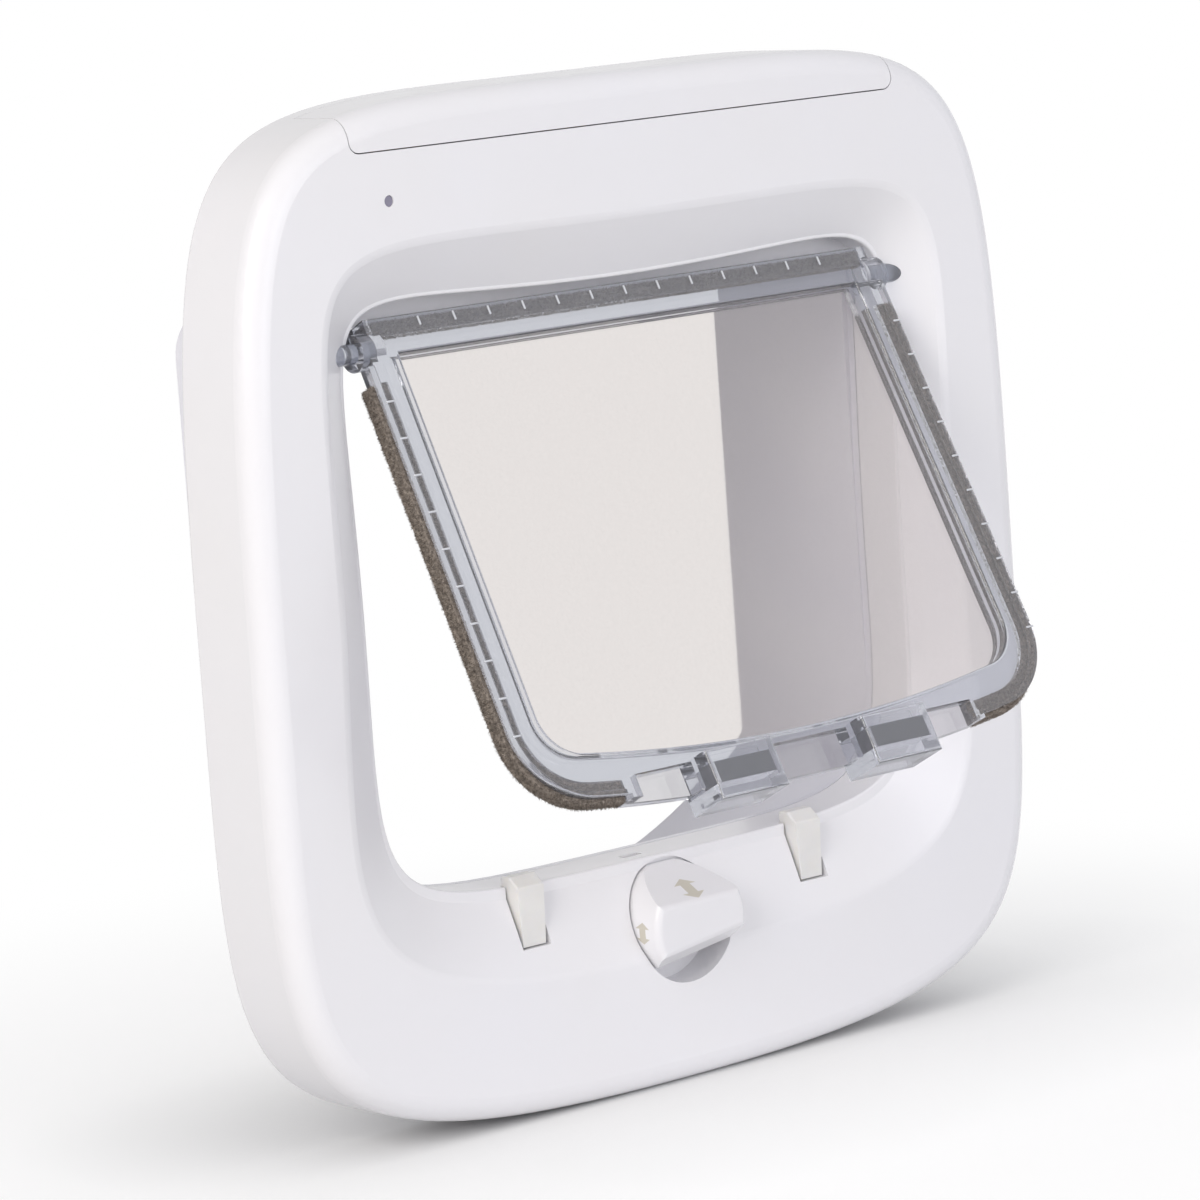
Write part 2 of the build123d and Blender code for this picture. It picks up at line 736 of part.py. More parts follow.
with BuildPart() as flap_panel:
    with BuildSketch(flap_plane.offset(-rim_half)):
        add(flap_face(pile_proud, 0, flap_length - pile_proud))
    extrude(amount=2 * rim_half)
    # front lip over the pile
    with BuildSketch(flap_plane.offset(lip_back)):
        add(flap_face(lip_inset, 0, flap_length - lip_inset))
    extrude(amount=rim_half - lip_back)
    # foot of the rim between the pile strips, out to the strips' face
    with BuildSketch(flap_plane.offset(-rim_half)):
        add(flap_face(0, 0, flap_length))
        with Locations((0, -flap_length)):
            Rectangle(2 * pile_end_x, 2 * (flap_length - window_length), mode=Mode.INTERSECT)
    extrude(amount=2 * rim_half)
    # window, sunk from both faces
    for face in (1, -1):
        with BuildSketch(flap_plane.offset(face * rim_half)):
            add(flap_face(window_inset, -window_top, window_length))
        extrude(amount=-face * (rim_half - sheet_half), mode=Mode.SUBTRACT)
    rim_faces = flap_panel.faces().filter_by(flap_plane).sort_by(flap_normal)
    rim_loops = rim_faces[0].inner_wires() + rim_faces[-1].inner_wires()
    fillet(rim_loops.edges(), rim_edge_radius)
    # grooves for the side pile
    for side in (1, -1):
        with BuildSketch(flap_plane.offset(pile_middle - groove_half)):
            add(flap_face(-pile_proud, 0, flap_length + pile_proud))
            add(flap_face(groove_inset, 0, flap_length - groove_inset), mode=Mode.SUBTRACT)
            with Locations((side * pile_end_x, -pile_start)):
                Rectangle(
                    strip_width, strip_height, align=strip_corner(side), mode=Mode.INTERSECT
                )
        extrude(amount=2 * groove_half, mode=Mode.SUBTRACT)
    # hinge bar with its pile channel and knuckles
    with BuildSketch(flap_plane.offset(-bar_half)):
        with Locations((0, -bar_low)):
            Rectangle(2 * bar_half_width, bar_low + bar_high, align=(Align.CENTER, Align.MIN))
    extrude(amount=2 * bar_half)
    for side in (1, -1):
        with BuildSketch(across(side * knuckle_inner)):
            with Locations((hinge_depth - frame_depth, hinge_height)):
                Circle(knuckle_radius)
        extrude(amount=side * (knuckle_outer - knuckle_inner))
    with BuildSketch(flap_plane.offset(-top_groove_half)):
        with Locations((0, top_groove_floor)):
            Rectangle(
                2 * (top_pile_half_width + pile_slack), bar_high, align=(Align.CENTER, Align.MIN)
            )
    extrude(amount=2 * top_groove_half, mode=Mode.SUBTRACT)
    for side in (1, -1):
        with BuildSketch(across(side * (hinge_pin_inner - hinge_pin_clearance))):
            with Locations((hinge_depth - frame_depth, hinge_height)):
                Circle(hinge_pin_radius + hinge_pin_clearance)
        extrude(amount=side * knuckle_outer, mode=Mode.SUBTRACT)
    # magnet housings, open at the back
    with BuildSketch(flap_plane.offset(-housing_back)):
        with Locations((magnet_x, -housing_bottom), (-magnet_x, -housing_bottom)):
            Rectangle(
                housing_width, housing_bottom - housing_top, align=(Align.CENTER, Align.MIN)
            )
    extrude(amount=housing_back + housing_front)
    housing_faces = flap_panel.faces().filter_by(flap_plane).sort_by(flap_normal)[-2:]
    fillet(housing_faces.edges(), housing_edge_radius)
    with BuildSketch(flap_plane.offset(-housing_back)):
        with Locations((magnet_x, -magnet_drop), (-magnet_x, -magnet_drop)):
            Rectangle(magnet_length + 2 * magnet_play, magnet_size + 2 * magnet_play)
    extrude(amount=housing_back + magnet_front + magnet_play, mode=Mode.SUBTRACT)
    # pockets for the pawls and the bolt, open to the front and below
    with BuildSketch(flap_plane.offset(-pocket_back)):
        with Locations((pawl_x, -pocket_top), (-pawl_x, -pocket_top)):
            Rectangle(pocket_width, flap_length, align=(Align.CENTER, Align.MAX))
        with Locations((0, -pocket_top)):
            Rectangle(bolt_pocket_width, flap_length, align=(Align.CENTER, Align.MAX))
    extrude(amount=pocket_back + rim_half, mode=Mode.SUBTRACT)
flap_panel.part.label = "flap_panel"
export_step(flap_panel.part, "parts/flap_panel.step")

# Pile strips: a tongue in the groove under a wider face
with BuildPart() as pile_right:
    with BuildSketch(flap_plane.offset(-rim_half)):
        add(flap_face(0, 0, flap_length))
        add(flap_face(pile_proud, 0, flap_length - pile_proud), mode=Mode.SUBTRACT)
        with Locations((pile_end_x + pile_slack, -pile_start - pile_slack)):
            Rectangle(strip_width, strip_height, align=strip_corner(1), mode=Mode.INTERSECT)
    extrude(amount=rim_half + pile_front)
    with BuildSketch(flap_plane.offset(pile_middle - groove_half + pile_slack)):
        add(flap_face(pile_proud, 0, flap_length - pile_proud))
        tongue_inset = groove_inset - pile_slack
        add(flap_face(tongue_inset, 0, flap_length - tongue_inset), mode=Mode.SUBTRACT)
        with Locations((pile_end_x + pile_slack, -pile_start - pile_slack)):
            Rectangle(strip_width, strip_height, align=strip_corner(1), mode=Mode.INTERSECT)
    extrude(amount=2 * (groove_half - pile_slack))
pile_right.part.label = "pile_right"
export_step(pile_right.part, "parts/pile_right.step")

with BuildPart() as pile_left:
    add(mirror(pile_right.part, about=Plane.YZ, mode=Mode.PRIVATE))
pile_left.part.label = "pile_left"
export_step(pile_left.part, "parts/pile_left.step")

with BuildPart() as pile_top:
    with BuildSketch(flap_plane.offset(pile_slack - top_groove_half)):
        with Locations((0, top_groove_floor + pile_slack)):
            top_pile_height = top_pile_reach - top_groove_floor - pile_slack
            Rectangle(2 * top_pile_half_width, top_pile_height, align=(Align.CENTER, Align.MIN))
    extrude(amount=2 * (top_groove_half - pile_slack))
pile_top.part.label = "pile_top"
export_step(pile_top.part, "parts/pile_top.step")

with BuildPart() as flap_magnets:
    with BuildSketch(flap_plane.offset(magnet_front)):
        with Locations((magnet_x, -magnet_drop), (-magnet_x, -magnet_drop)):
            Rectangle(magnet_length, magnet_size)
    extrude(amount=-magnet_size)
flap_magnets.part.label = "flap_magnets"
export_step(flap_magnets.part, "parts/flap_magnets.step")

with BuildPart() as sill_magnets:
    with BuildSketch(behind_front(sill_magnet_depth)):
        with Locations((magnet_x, sill_magnet_top), (-magnet_x, sill_magnet_top)):
            Rectangle(magnet_length, magnet_size, align=(Align.CENTER, Align.MAX))
    extrude(amount=-sill_magnet_thickness)
sill_magnets.part.label = "sill_magnets"
export_step(sill_magnets.part, "parts/sill_magnets.step")

# Latch: two pawls on one bar, lifted by the plunger
with BuildPart() as pawl_right:
    with BuildSketch(across(pawl_x - pawl_top_width / 2)):
        with BuildLine():
            Polyline(
                (pawl_front - frame_depth, pawl_nose),
                (pawl_front + pawl_ramp - frame_depth, pawl_top),
                (pawl_back - frame_depth, pawl_top),
                (pawl_back - frame_depth, bar_top_height),
                (pawl_step - frame_depth, bar_top_height),
                (pawl_step - frame_depth, pawl_foot),
                (pawl_front - frame_depth, pawl_foot),
                close=True,
            )
        make_face()
    extrude(amount=pawl_top_width)
    # sides draw in towards the foot
    with BuildSketch(behind_front(0)):
        with BuildLine():
            Polyline(
                (pawl_x - pawl_top_width / 2, pawl_top),
                (pawl_x + pawl_top_width / 2, pawl_top),
                (pawl_x + pawl_foot_width / 2, pawl_foot),
                (pawl_x + pawl_foot_width / 2, bar_top_height),
                (pawl_x - pawl_foot_width / 2, bar_top_height),
                (pawl_x - pawl_foot_width / 2, pawl_foot),
                close=True,
            )
        make_face()
    extrude(amount=-frame_depth, mode=Mode.INTERSECT)
    head_edges = pawl_right.edges().filter_by_position(Axis.Z, pawl_nose - 0.1, pawl_top + 0.1)
    fillet(head_edges, pawl_edge_radius)
pawl_right.part.label = "pawl_right"
export_step(pawl_right.part, "parts/pawl_right.step")

with BuildPart() as pawl_left:
    add(mirror(pawl_right.part, about=Plane.YZ, mode=Mode.PRIVATE))
pawl_left.part.label = "pawl_left"
export_step(pawl_left.part, "parts/pawl_left.step")

with BuildPart() as latch_bar:
    with BuildSketch(behind_front(pawl_step)):
        with Locations((0, bar_top_height)):
            Rectangle(
                2 * pawl_x + pawl_top_width, bar_thickness, align=(Align.CENTER, Align.MAX)
            )
    extrude(amount=pawl_step - pawl_back)
    with BuildSketch(behind_front(pawl_step)):
        with Locations((plunger_x, bar_top_height)):
            Rectangle(2 * lug_half_width, bar_thickness, align=(Align.CENTER, Align.MAX))
    extrude(amount=pawl_step - plunger_depth - plunger_radius)
latch_bar.part.label = "latch_bar"
export_step(latch_bar.part, "parts/latch_bar.step")

with BuildPart() as plunger:
    with BuildSketch(Plane.XY.offset(bar_top_height)):
        with Locations((plunger_x, plunger_depth - frame_depth)):
            Circle(plunger_radius)
    extrude(amount=plunger_length)
plunger.part.label = "plunger"
export_step(plunger.part, "parts/plunger.step")

with BuildPart() as solenoid_coil:
    with BuildSketch(Plane.XY.offset(bobbin_top)):
        with Locations((plunger_x, plunger_depth - frame_depth)):
            Circle(bobbin_radius)
            Circle(plunger_radius + plunger_clearance, mode=Mode.SUBTRACT)
    extrude(amount=-bobbin_height)
solenoid_coil.part.label = "solenoid_coil"
export_step(solenoid_coil.part, "parts/solenoid_coil.step")

with BuildPart() as solenoid_frame:
    with BuildSketch(behind_front(web_front)):
        with Locations((plunger_x, bobbin_top + bobbin_gap + bracket_thickness)):
            inside_height = bobbin_height + 2 * bobbin_gap
            bracket_height = inside_height + 2 * bracket_thickness
            Rectangle(
                2 * bracket_half_width, bracket_height, align=(Align.CENTER, Align.MAX)
            )
    extrude(amount=web_front - plunger_depth + bobbin_radius)
    with BuildSketch(behind_front(web_front - bracket_thickness)):
        with Locations((plunger_x, bobbin_top + bobbin_gap)):
            Rectangle(2 * bracket_half_width, inside_height, align=(Align.CENTER, Align.MAX))
    extrude(amount=web_front, mode=Mode.SUBTRACT)
    with BuildSketch(Plane.XY.offset(bobbin_top + bobbin_gap + bracket_thickness)):
        with Locations((plunger_x, plunger_depth - frame_depth)):
            Circle(plunger_radius + plunger_clearance)
    extrude(amount=-bracket_height, mode=Mode.SUBTRACT)
solenoid_frame.part.label = "solenoid_frame"
export_step(solenoid_frame.part, "parts/solenoid_frame.step")

# Lock: knob, pinion on its shaft, screw and the bolt with its rack
knob_back = pocket_depth - knob_floor_gap
knob_across = Vector(cos(radians(knob_tilt)), 0, sin(radians(knob_tilt)))
knob_middle = (0, -frame_depth, knob_height)
with BuildPart() as lock_knob:
    with BuildSketch(behind_front(knob_front)):
        with Locations((0, knob_height)):
            Circle(knob_radius)
    extrude(amount=knob_front - knob_back)
    # top facet, sloping up and back
    with BuildSketch(across(-knob_radius)):
        with BuildLine():
            rise = (knob_back - knob_front) * tan(radians(knob_top_slope))
            Polyline(
                (knob_front - frame_depth, knob_height + knob_brow),
                (knob_back - frame_depth, knob_height + knob_brow + rise),
                (knob_back - frame_depth, knob_height + 2 * knob_radius),
                (knob_front - frame_depth, knob_height + 2 * knob_radius),
                close=True,
            )
        make_face()
    extrude(amount=2 * knob_radius, mode=Mode.SUBTRACT)
    # flat foot and its bevel, tilted to one side
    with BuildSketch(Plane(origin=knob_middle, x_dir=(0, 1, 0), z_dir=knob_across)):
        with BuildLine():
            Polyline(
                (knob_front, -knob_lip),
                (knob_lip_depth, -knob_chord),
                (knob_back, -knob_chord),
                (knob_back, -2 * knob_radius),
                (knob_front, -2 * knob_radius),
                close=True,
            )
        make_face()
    extrude(amount=2 * knob_radius, both=True, mode=Mode.SUBTRACT)
    fillet(lock_knob.faces().sort_by(Axis.Y)[0].edges(), knob_edge_radius)
    with BuildSketch(behind_front(knob_back)):
        with Locations((0, knob_height)):
            Circle(shaft_radius)
    extrude(amount=knob_back - flange_front)
    with BuildSketch(behind_front(flange_front)):
        with Locations((0, knob_height)):
            Circle(knob_screw_radius + screw_clearance)
    extrude(amount=knob_screw_length, mode=Mode.SUBTRACT)
lock_knob.part.label = "lock_knob"
export_step(lock_knob.part, "parts/lock_knob.step")

with BuildPart() as lock_pinion:
    with BuildSketch(behind_front(flange_front)):
        with Locations((0, knob_height)):
            Circle(flange_radius)
    extrude(amount=-flange_thickness)
    with BuildSketch(behind_front(flange_front + flange_thickness)):
        with Locations((0, knob_height)):
            Circle(pitch_radius - tooth_root)
            with PolarLocations(0, pinion_teeth):
                root = pitch_radius - 2 * tooth_root
                tip = pitch_radius + tooth_height
                tip_half = tooth_half - tooth_height * tan(radians(tooth_slope))
                root_half = tooth_half + tooth_root * tan(radians(tooth_slope)) / 2
                Polygon(
                    (root, -root_half),
                    (pitch_radius, -tooth_half),
                    (tip, -tip_half),
                    (tip, tip_half),
                    (pitch_radius, tooth_half),
                    (root, root_half),
                    align=None,
                )
    extrude(amount=flange_front + flange_thickness - pinion_back)
    with BuildSketch(behind_front(flange_front)):
        with Locations((0, knob_height)):
            Circle(knob_screw_radius + screw_clearance)
    extrude(amount=flange_front - pinion_back, mode=Mode.SUBTRACT)
lock_pinion.part.label = "lock_pinion"
export_step(lock_pinion.part, "parts/lock_pinion.step")

with BuildPart() as knob_screw:
    with BuildSketch(behind_front(pinion_back)):
        with Locations((0, knob_height)):
            Circle(knob_screw_head_radius)
    extrude(amount=-knob_screw_head_height)
    with BuildSketch(behind_front(pinion_back)):
        with Locations((0, knob_height)):
            Circle(knob_screw_radius)
    extrude(amount=knob_screw_length)
knob_screw.part.label = "knob_screw"
export_step(knob_screw.part, "parts/knob_screw.step")

with BuildPart() as lock_bolt:
    with BuildSketch(behind_front(bolt_front)):
        with Locations((bolt_x, bolt_foot)):
            bolt_height = opening_bottom - bolt_sink - bolt_foot
            Rectangle(bolt_width, bolt_height, align=(Align.CENTER, Align.MIN))
        for index in range(rack_low, rack_high):
            with Locations((-pitch_radius, knob_height + (index + 0.5) * tooth_pitch)):
                rack_tip = tooth_half - tooth_height * tan(radians(tooth_slope))
                rack_root = tooth_half + tooth_root * tan(radians(tooth_slope))
                Polygon(
                    (-tooth_root, -rack_root),
                    (tooth_height, -rack_tip),
                    (tooth_height, rack_tip),
                    (-tooth_root, rack_root),
                    align=None,
                )
    extrude(amount=-bolt_thickness)
lock_bolt.part.label = "lock_bolt"
export_step(lock_bolt.part, "parts/lock_bolt.step")
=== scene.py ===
"""Dresses a packed cat flap: white shells, a clear flap edged in pile, latch, lock and stage."""

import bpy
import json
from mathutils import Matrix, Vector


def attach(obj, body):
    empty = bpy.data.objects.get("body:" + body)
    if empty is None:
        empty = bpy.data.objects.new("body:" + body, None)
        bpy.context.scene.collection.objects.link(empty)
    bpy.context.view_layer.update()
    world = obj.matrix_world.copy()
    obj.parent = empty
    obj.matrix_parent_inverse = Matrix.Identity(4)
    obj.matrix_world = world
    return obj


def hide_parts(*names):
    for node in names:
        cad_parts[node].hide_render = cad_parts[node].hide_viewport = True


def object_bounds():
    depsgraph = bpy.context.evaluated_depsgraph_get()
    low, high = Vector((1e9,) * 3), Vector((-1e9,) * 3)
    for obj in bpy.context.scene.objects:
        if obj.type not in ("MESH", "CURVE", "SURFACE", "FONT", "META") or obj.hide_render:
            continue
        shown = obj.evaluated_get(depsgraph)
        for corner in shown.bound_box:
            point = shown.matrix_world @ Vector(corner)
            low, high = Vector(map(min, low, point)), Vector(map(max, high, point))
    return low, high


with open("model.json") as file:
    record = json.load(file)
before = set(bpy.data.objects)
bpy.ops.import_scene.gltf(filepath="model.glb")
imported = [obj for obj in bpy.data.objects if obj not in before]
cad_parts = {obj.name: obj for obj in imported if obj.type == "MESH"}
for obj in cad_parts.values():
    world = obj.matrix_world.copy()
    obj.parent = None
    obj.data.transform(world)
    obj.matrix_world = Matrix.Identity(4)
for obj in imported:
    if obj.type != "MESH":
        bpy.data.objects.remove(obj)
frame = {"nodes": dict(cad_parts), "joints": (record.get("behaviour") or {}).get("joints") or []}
cad_box = [list(corner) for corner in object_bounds()]

import json
from math import cos, radians, sin

import bmesh
import bpy
from bpy.props import FloatProperty, FloatVectorProperty, IntProperty, PointerProperty
from mathutils import Matrix, Vector

bl_info = {
    "name": "Cat flap looks",
    "version": (1, 0, 0),
    "blender": (4, 5, 0),
    "location": "View3D > Sidebar > Cat flap",
    "description": "Finishes, pile, printed signs and a studio stage for a cat flap",
    "category": "Object",
}

MM = 0.001
FLAP_LEAN = radians(27.5)
SHEET_HALF = 1.3 * MM  # faces of the flap nearer its middle plane than this are the sheet's

# Nibs, in the flap's own plane: the lip's outer edge spreads as it drops from the hinge.
NIBS_A_SIDE = 10
NIBS_HALF_BAR = 6
FIRST_NIB_DROP = 14 * MM
LIP_EDGE = 80.6 * MM
LIP_SPREAD = 0.0167
NIB_INSET = 0.8 * MM
SIDE_NIB_OUT = 3.45 * MM
BAR_NIB_UP = 4.6 * MM
BAR_NIB_OUT = 3.35 * MM
BAR_PITCH = 1.13  # times the pitch along the sides
NIB_HEIGHT = 0.5 * MM
NIB_BEVEL = 0.15 * MM

# Knob: its sloping facet, where the facet's print is, and the wall's radius and print.
FACET_SLOPE = radians(29)
FACET_MIDDLE = Vector((0.0, -27.3, -74.83)) * MM
KNOB_RADIUS = 14.4 * MM
WALL_MARK_Y = -25.8 * MM
WALL_MARK_TURN = -0.035
WALL_MARK_WIDTH = 0.9  # of its length
ARROW_HEAD = 0.56  # of half the arrow's length
ARROW_SHAFT = 0.44  # of the head's width

# Stage, in metres.
KEY_SPOT = (-1.6, -0.5, 0.8)
KEY_SIZE = 1.0
FRONT_SPOT = (0.3, -1.7, 0.15)
FRONT_SIZE = 1.2
FLOOR_RADIUS = 12.0
FADE_FROM = 0.13
FADE_TO = 0.34
# Reach of the ambient occlusion that paints a contact shadow into the floor's glow.
PAINTED_SHADE_REACH = 0.09
CAMERA_SPOT = (-0.84761, -1.01301, 0.18903)
CAMERA_RIGHT = Vector((0.757736, -0.648714, -0.070752))
CAMERA_DOWN = Vector((-0.148519, -0.065863, -0.986714))
CAMERA_AHEAD = Vector((0.635435, 0.758177, -0.146253))
SENSOR_MM = 36.0

WHITE = (1.0, 1.0, 1.0, 1.0)
MERGE_REACH = 0.002 * MM

# Pile fibres: tip as a share of the root, lean and turn in radians, and spread of sizes.
FIBRE_TIP = 0.35
FIBRE_LEAN = 0.5
FIBRE_TURN = 3.1
FIBRE_SMALLEST = 0.6
FIBRE_LARGEST = 1.1

# Patterns of the white mouldings, in millimetres.
CLOUD_MM = 45
RIPPLE_MM = 9

# Printed and etched bands: pitch in millimetres and share of the pitch.
CELL_BAND = (50.5, 0.3)
TRACK_BAND = (2.54, 0.3)
nodes = frame["nodes"]
hinge = next(joint for joint in frame["joints"] if joint["name"] == "flap_swing")
knob = next(joint for joint in frame["joints"] if joint["name"] == "knob_turn")


def linear(hex_colour):
    """Linear red, green, blue and alpha of an sRGB hex colour."""
    channels = [int(hex_colour[i:i + 2], 16) / 255 for i in (1, 3, 5)]
    curve = [c / 12.92 if c <= 0.04045 else ((c + 0.055) / 1.055) ** 2.4 for c in channels]
    return (*curve, 1.0)


def tint(description, name, default):
    """Colour property whose default is an sRGB hex value."""
    return FloatVectorProperty(
        name=name,
        description=description,
        subtype="COLOR",
        size=4,
        min=0.0,
        max=1.0,
        default=linear(default),
    )


def length(description, name, default):
    """Length property in metres, given in millimetres."""
    return FloatProperty(
        name=name, description=description, unit="LENGTH", min=0.0, default=default * MM
    )


class FlapFinishes(bpy.types.PropertyGroup):
    """Colours of the mouldings, pile, metals and print."""

    shell: tint("Moulded white of the frame", "Shell", "#F0F0F4")
    shell_warm: tint("Warmer cloud in the white", "Shell, warm", "#EFEEEF")
    # The tunnel is the same white ABS as the frame; its darker, cooler white is painted shade of
    # the tunnel's inside.
    tunnel_painted_shade: tint("Cooler white of the tunnel's moulding", "Tunnel", "#DFDFE9")
    # The rim's grey-blue is partly the faint tint of thick polycarbonate and partly a painted
    # reflection of darker surroundings.
    clear: tint("Tint of the thick clear rim", "Clear rim", "#C9CBD2")
    # The nibs are clear polycarbonate; their opaque pale grey is a painted highlight of the bright
    # lines they catch.
    nib: tint("Frosted nibs on the rim", "Nibs", "#D9DBE0")
    film: tint("Warm tint of the clear sheet", "Clear sheet", "#E8E3E1")
    pile: tint("Light fibres of the pile", "Pile", "#A0958A")
    pile_dark: tint("Dark fibres of the pile", "Pile, dark", "#675D54")
    magnet: tint("Sintered ferrite", "Magnet", "#4B4849")
    nylon: tint("Natural nylon of the pawls", "Nylon", "#EDECE9")
    print_ink: tint("Printed arrows", "Print", "#D3CEC1")
    sleeve: tint("Sleeve of the cells", "Cell sleeve", "#3A3D42")
    band: tint("Band on the cells' sleeve", "Cell band", "#B0763E")
    mask: tint("Solder mask of the board", "Solder mask", "#1F5A34")


class FlapSizes(bpy.types.PropertyGroup):
    """Sizes of what the looks add to the solids."""

    fibre_length: length("Length of a pile fibre past the backing", "Fibre length", 0.6)
    pile_inset: length("Depth of the backing under the fibres' tips", "Pile inset", 0.35)
    fibre_radius: length("Radius of a pile fibre at its root", "Fibre radius", 0.075)
    fibre_spacing: length("Mean distance between fibres", "Fibre spacing", 0.24)
    fibre_seed: IntProperty(name="Fibre seed", description="Seed of the fibres' places", default=4)
    nib_pitch: length("Distance between the nibs along the rim", "Nib pitch", 9.3)
    nib_length: length("Length of a nib across the rim", "Nib length", 2.3)
    nib_width: length("Width of a nib", "Nib width", 0.5)
    arrow_length: length("Length of the knob's double arrow", "Arrow length", 7.8)
    arrow_width: length("Width across an arrow head", "Arrow width", 6.8)
    mark_length: length("Length of the arrow on the knob's wall", "Wall arrow length", 5.4)
    print_thickness: length("Thickness of the print", "Print thickness", 0.03)


class FlapStage(bpy.types.PropertyGroup):
    """Light and lens of the studio."""

    lens: FloatProperty(name="Lens", description="Focal length in mm", default=164.73, min=1.0)
    sky: FloatProperty(name="Sky", description="Even light from the front", default=0.8, min=0.0)
    shade: FloatProperty(name="Shade", description="Even light from behind", default=0.07, min=0.0)
    key: FloatProperty(
        name="Key", description="Watts of the lamp at the left", default=17.0, min=0.0
    )
    front: FloatProperty(
        name="Front", description="Watts of the lamp in front", default=8.0, min=0.0
    )
    sky_tint: tint("Colour of the even light", "Sky tint", "#F8F8FD")
    key_tint: tint("Colour of the lamp at the left", "Key tint", "#FFFAF4")
    floor: tint("Pale floor", "Floor", "#F2F2F2")
    floor_glow: FloatProperty(
        name="Floor glow", description="Share of the floor near the object that glows", default=0.3,
        min=0.01, max=1.0,
    )
    floor_level: FloatProperty(
        name="Floor level", description="Brightness of the lit floor clear of the shadow",
        default=0.68, min=0.0, max=1.0,
    )


def add_node(tree, kind, inputs=None, **settings):
    """Adds a node with its settings; an input takes a socket to link or a constant."""
    node = tree.nodes.new(kind)
    for name, value in settings.items():
        setattr(node, name, value)
    for name, value in (inputs or {}).items():
        if isinstance(value, bpy.types.NodeSocket):
            tree.links.new(value, node.inputs[name])
        else:
            node.inputs[name].default_value = value
    return node


def new_material(name):
    """Empty node material, the place that its patterns read, and its output node."""
    material = bpy.data.materials.new(name)
    material.use_nodes = True
    tree = material.node_tree
    tree.nodes.clear()
    place = add_node(tree, "ShaderNodeTexCoord").outputs["Object"]
    return material, tree, place, add_node(tree, "ShaderNodeOutputMaterial")


def seen_rays(tree):
    """One for rays from the camera, straight or by way of gloss or clear parts, else nought."""
    ray = add_node(tree, "ShaderNodeLightPath")
    seen = ray.outputs["Is Camera Ray"]
    for kind in ("Is Glossy Ray", "Is Transmission Ray"):
        seen = add_node(
            tree, "ShaderNodeMath", {0: seen, 1: ray.outputs[kind]}, operation="MAXIMUM"
        ).outputs[0]
    return seen


def per_mm(size):
    """Scale of a noise or wave whose features are this many millimetres across."""
    return 1 / (size * MM)


def abs_moulded_white(name, colour, cloudy):
    """Moulded ABS from a polished tool, semi-gloss white.

    The eye sees broad soft reflections, a very faint cloud in the white where the melt cooled
    slower, and a fine ripple that varies the gloss a little.
    """
    material, tree, place, output = new_material(name)
    cloud = add_node(
        tree, "ShaderNodeTexNoise", {"Vector": place, "Scale": per_mm(CLOUD_MM), "Detail": 2.0}
    )
    white = add_node(
        tree, "ShaderNodeMix", {0: cloud.outputs[0], 6: colour, 7: cloudy}, data_type="RGBA"
    )
    ripple = add_node(
        tree, "ShaderNodeTexNoise", {"Vector": place, "Scale": per_mm(RIPPLE_MM), "Detail": 1.0}
    )
    gloss = add_node(
        tree, "ShaderNodeMapRange",
        {
            "Value": ripple.outputs[0],
            "From Min": 0.3,
            "From Max": 0.7,
            "To Min": 0.23,
            "To Max": 0.27,
        },
    )
    bump = add_node(
        tree, "ShaderNodeBump",
        {"Height": ripple.outputs[0], "Strength": 0.1, "Distance": 0.03 * MM},
    )
    shader = add_node(
        tree, "ShaderNodeBsdfPrincipled",
        {
            "Base Color": white.outputs[2],
            "Roughness": gloss.outputs[0],
            "IOR": 1.53,
            "Normal": bump.outputs[0],
        },
    )
    tree.links.new(shader.outputs[0], output.inputs[0])
    return material


def polycarbonate_clear(name, colour, grain_mm, grain, haze=0.0):
    """Clear moulded polycarbonate, polished, that lets lamp light through.

    The eye sees bent edges, bright lines along the ridges and a weak tint where it is thick,
    which on the rim is deepened into a painted reflection of darker surroundings; a thick rim
    is a little hazy from flow lines, and the sheet's tint carries a fine grain.
    """
    material, tree, place, output = new_material(name)
    speck = add_node(
        tree, "ShaderNodeTexNoise", {"Vector": place, "Scale": per_mm(grain_mm), "Detail": 2.0}
    )
    darker = tuple(c * (1 - grain) for c in colour[:3]) + (1.0,)
    shade = add_node(
        tree, "ShaderNodeMix", {0: speck.outputs[0], 6: darker, 7: colour}, data_type="RGBA"
    )
    bump = add_node(
        tree, "ShaderNodeBump",
        {"Height": speck.outputs[0], "Strength": 0.03, "Distance": 0.02 * MM},
    )
    glass = add_node(
        tree, "ShaderNodeBsdfPrincipled",
        {
            "Base Color": shade.outputs[2],
            "Roughness": 0.03,
            "IOR": 1.585,
            "Transmission Weight": 1 - haze,
            "Normal": bump.outputs[0],
        },
    )
    passing = add_node(tree, "ShaderNodeBsdfTransparent", {"Color": linear("#EEF0F5")})
    ray = add_node(tree, "ShaderNodeLightPath")
    mixed = add_node(
        tree, "ShaderNodeMixShader",
        {0: ray.outputs["Is Shadow Ray"], 1: glass.outputs[0], 2: passing.outputs[0]},
    )
    tree.links.new(mixed.outputs[0], output.inputs[0])
    return material


def polypropylene_pile(colours):
    """Woven pile of crimped polypropylene fibres, grey brown.

    The eye sees a speckle of light and dark fibre ends, matt with a little sheen at the rim.
    """
    material, tree, place, output = new_material("polypropylene_pile")
    speckle = add_node(
        tree, "ShaderNodeTexNoise", {"Vector": place, "Scale": per_mm(0.8), "Detail": 4.0}
    )
    ramp = add_node(tree, "ShaderNodeMapRange", {"Value": speckle.outputs[0], 1: 0.35, 2: 0.65})
    shade = add_node(
        tree, "ShaderNodeMix", {0: ramp.outputs[0], 6: colours.pile_dark, 7: colours.pile},
        data_type="RGBA",
    )
    shader = add_node(
        tree, "ShaderNodeBsdfPrincipled",
        {
            "Base Color": shade.outputs[2],
            "Roughness": 0.85,
            "IOR": 1.49,
            "Sheen Weight": 0.25,
            "Sheen Roughness": 0.5,
        },
    )
    tree.links.new(shader.outputs[0], output.inputs[0])
    return material


